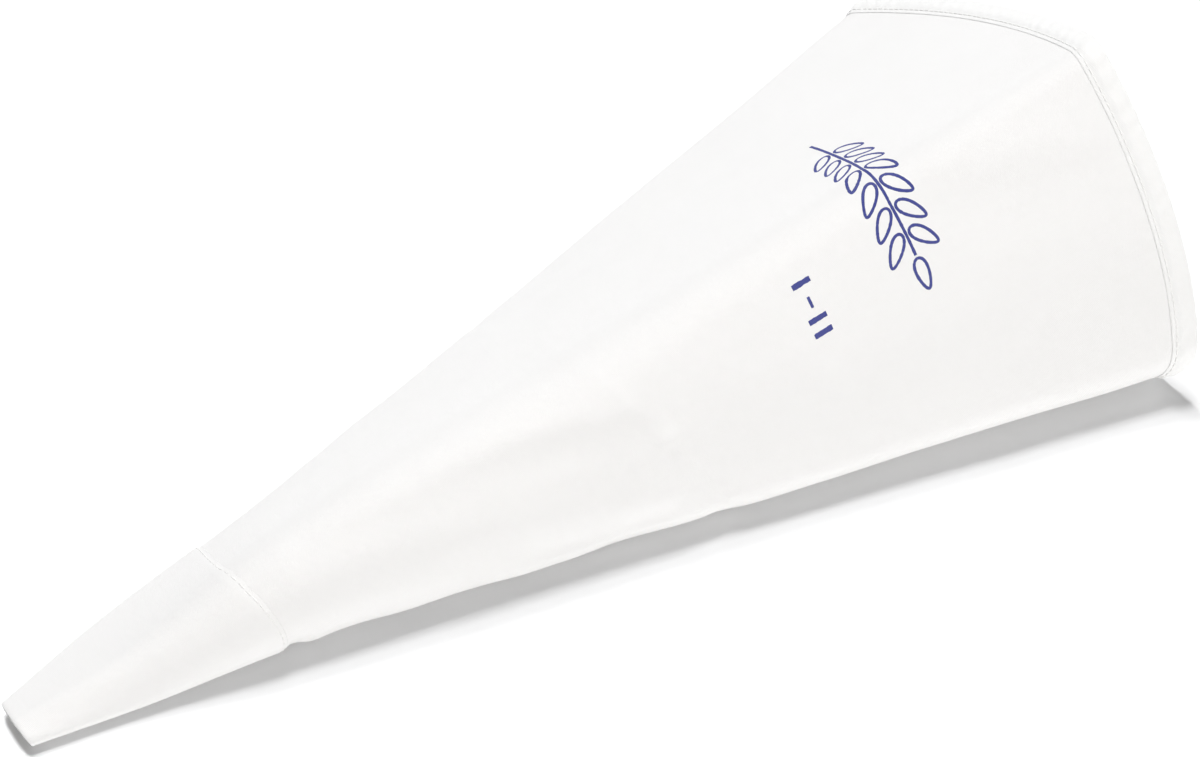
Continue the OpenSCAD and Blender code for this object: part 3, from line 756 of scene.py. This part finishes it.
def ink_bar(start, end, width):
    start, end = np.array(start, float), np.array(end, float)
    steps = max(3, math.ceil(np.linalg.norm(end - start) / 0.7))
    return ink_line([start + (end - start) * i / steps for i in range(steps + 1)], width)


def ink_grain(centre, heading):
    """The outline of one grain of the ear: a leaf shape that points away from the stem."""
    turn = np.linspace(0, 2 * math.pi, 49)[:-1]
    x = GRAIN_L / 2 * np.cos(turn)
    y = GRAIN_W / 2 * np.sin(turn) * (1 - 0.3 * np.cos(turn))
    c, s = math.cos(heading), math.sin(heading)
    return ink_line(np.stack([centre[0] + x * c - y * s, centre[1] + x * s + y * c], -1), closed=True)


def printed_emblem(material):
    """A plain ear of wheat, lying across the bag."""
    tilt = math.radians(GRAIN_TILT)
    end = EAR_FROM + EAR_L - GRAIN_L
    shapes = [ink_bar((EAR_FROM, EMBLEM_AT), (end - 1.2, EMBLEM_AT), INK_W),
              ink_grain((end + GRAIN_L / 2, EMBLEM_AT), 0)]
    for i in range(GRAIN_PAIRS):
        for side in (-1, 1):
            root = (EAR_FROM + STEM_L + i * GRAIN_PITCH, EMBLEM_AT + side * GRAIN_CLEAR)
            centre = (root[0] + GRAIN_L / 2 * math.cos(tilt), root[1] + side * GRAIN_L / 2 * math.sin(tilt))
            shapes.append(ink_grain(centre, side * tilt))
    return finish_piece(joined_shapes("wheat_ear_print", shapes), "printed_emblem", material)


def printed_size_bars(material):
    """Three upright bars and a dash."""
    foot, head = BARS_AT - BAR_H / 2, BARS_AT + BAR_H / 2
    places = [BARS_ACROSS + place for place in BAR_PLACES]
    shapes = [ink_bar((place, foot), (place, head), BAR_W) for place in places]
    dash = [(BARS_ACROSS + end, BARS_AT) for end in DASH_ENDS]
    shapes.append(ink_bar(*dash, INK_W))
    return finish_piece(joined_shapes("size_bar_print", shapes), "printed_size_bars", material)


# ---------------------------------------------------------------- floor, light and camera
def studio():
    """A plain white floor, two soft key lights from above and behind, and low lights in front, behind and
    towards the mouth."""
    scene = bpy.context.scene
    scene.view_settings.view_transform = "Standard"
    bpy.ops.mesh.primitive_plane_add(size=12, location=(0, 0, cad_box[0].z))
    floor = bpy.context.object
    floor.name = "studio_floor"
    n = Nodes("studio_floor")
    n.shader.inputs["Base Color"].default_value = (0.945, 0.95, 0.957, 1)
    n.shader.inputs["Roughness"].default_value = 0.9
    n.shader.inputs["Specular IOR Level"].default_value = 0.1
    floor.data.materials.append(n.material)

    world = bpy.data.worlds.new("studio_world")
    scene.world = world
    world.use_nodes = True
    world.node_tree.nodes["Background"].inputs["Color"].default_value = (1, 1, 1, 1)
    world.node_tree.nodes["Background"].inputs["Strength"].default_value = 0.145

    lamp("key_light", (0.05, 0.17, 0.98), 6.0, 1.0, 1.0, 170)
    lamp("second_key_light", (0.05, 0.38, 0.92), 6.0, 1.0, 1.0, 148)
    lamp("fill_light", (-0.12, -0.963, 0.235), 2.0, 1.8, 0.9, 22.8, colour=(1, 0.984, 0.962))
    lamp("back_light", (0.0, 0.94, 0.342), 2.2, 1.8, 0.7, 5.2)
    lamp("mouth_light", (0.95, 0.05, 0.3), 2.2, 1.2, 0.6, 4.5)


def lamp(name, towards, distance, width, height, power, colour=(1, 1, 1)):
    """A rectangular area light that faces the middle of the bag."""
    light = bpy.data.lights.new(name, "AREA")
    light.shape, light.size, light.size_y, light.energy = "RECTANGLE", width, height, power
    light.color = colour
    rig = bpy.data.objects.new(name, light)
    direction = Vector(towards).normalized()
    rig.location = direction * distance
    rig.rotation_euler = direction.to_track_quat("Z", "Y").to_euler()
    bpy.context.scene.collection.objects.link(rig)


AIM = Vector((np.array([212.3, -10.05, 40]) - ORIGIN) * MM)
CAMERA_ELEVATION, CAMERA_TURN, CAMERA_DISTANCE, LENS = 51.65, 34.26, 1.3, 121.9


def camera():
    """The main view: from the front and above, with the tip nearest and the ridge running up and right."""
    data = bpy.data.cameras.new("camera")
    data.lens, data.sensor_width = LENS, 36
    eye = bpy.data.objects.new("camera", data)
    elevation, turn = math.radians(CAMERA_ELEVATION), math.radians(CAMERA_TURN)
    towards = Vector((-math.sin(turn) * math.cos(elevation), -math.cos(turn) * math.cos(elevation),
                      math.sin(elevation)))
    eye.location = AIM + towards * CAMERA_DISTANCE
    eye.rotation_euler = towards.to_track_quat("Z", "Y").to_euler()
    bpy.context.scene.collection.objects.link(eye)
    bpy.context.scene.camera = eye


# ---------------------------------------------------------------- the bag
camera()
studio()
cloth_material = cotton("cotton_cloth")
band_material = cotton("cotton_band", light=(0.895, 0.895, 0.89), shade=(0.86, 0.857, 0.85))
thread_material, ink_material = sewing_thread(), blue_ink()

body = bag_body(cloth_material)
lining = inner_coating(sealing_coat())
hem = mouth_hem(band_material)
sleeve = tip_sleeve(cloth_material)
allowance = seam_allowance(cloth_material)
hem_thread = hem_stitches(thread_material)
sleeve_thread = sleeve_stitches(thread_material)
seam_thread = seam_stitches(thread_material)
emblem = printed_emblem(ink_material)
size_bars = printed_size_bars(ink_material)
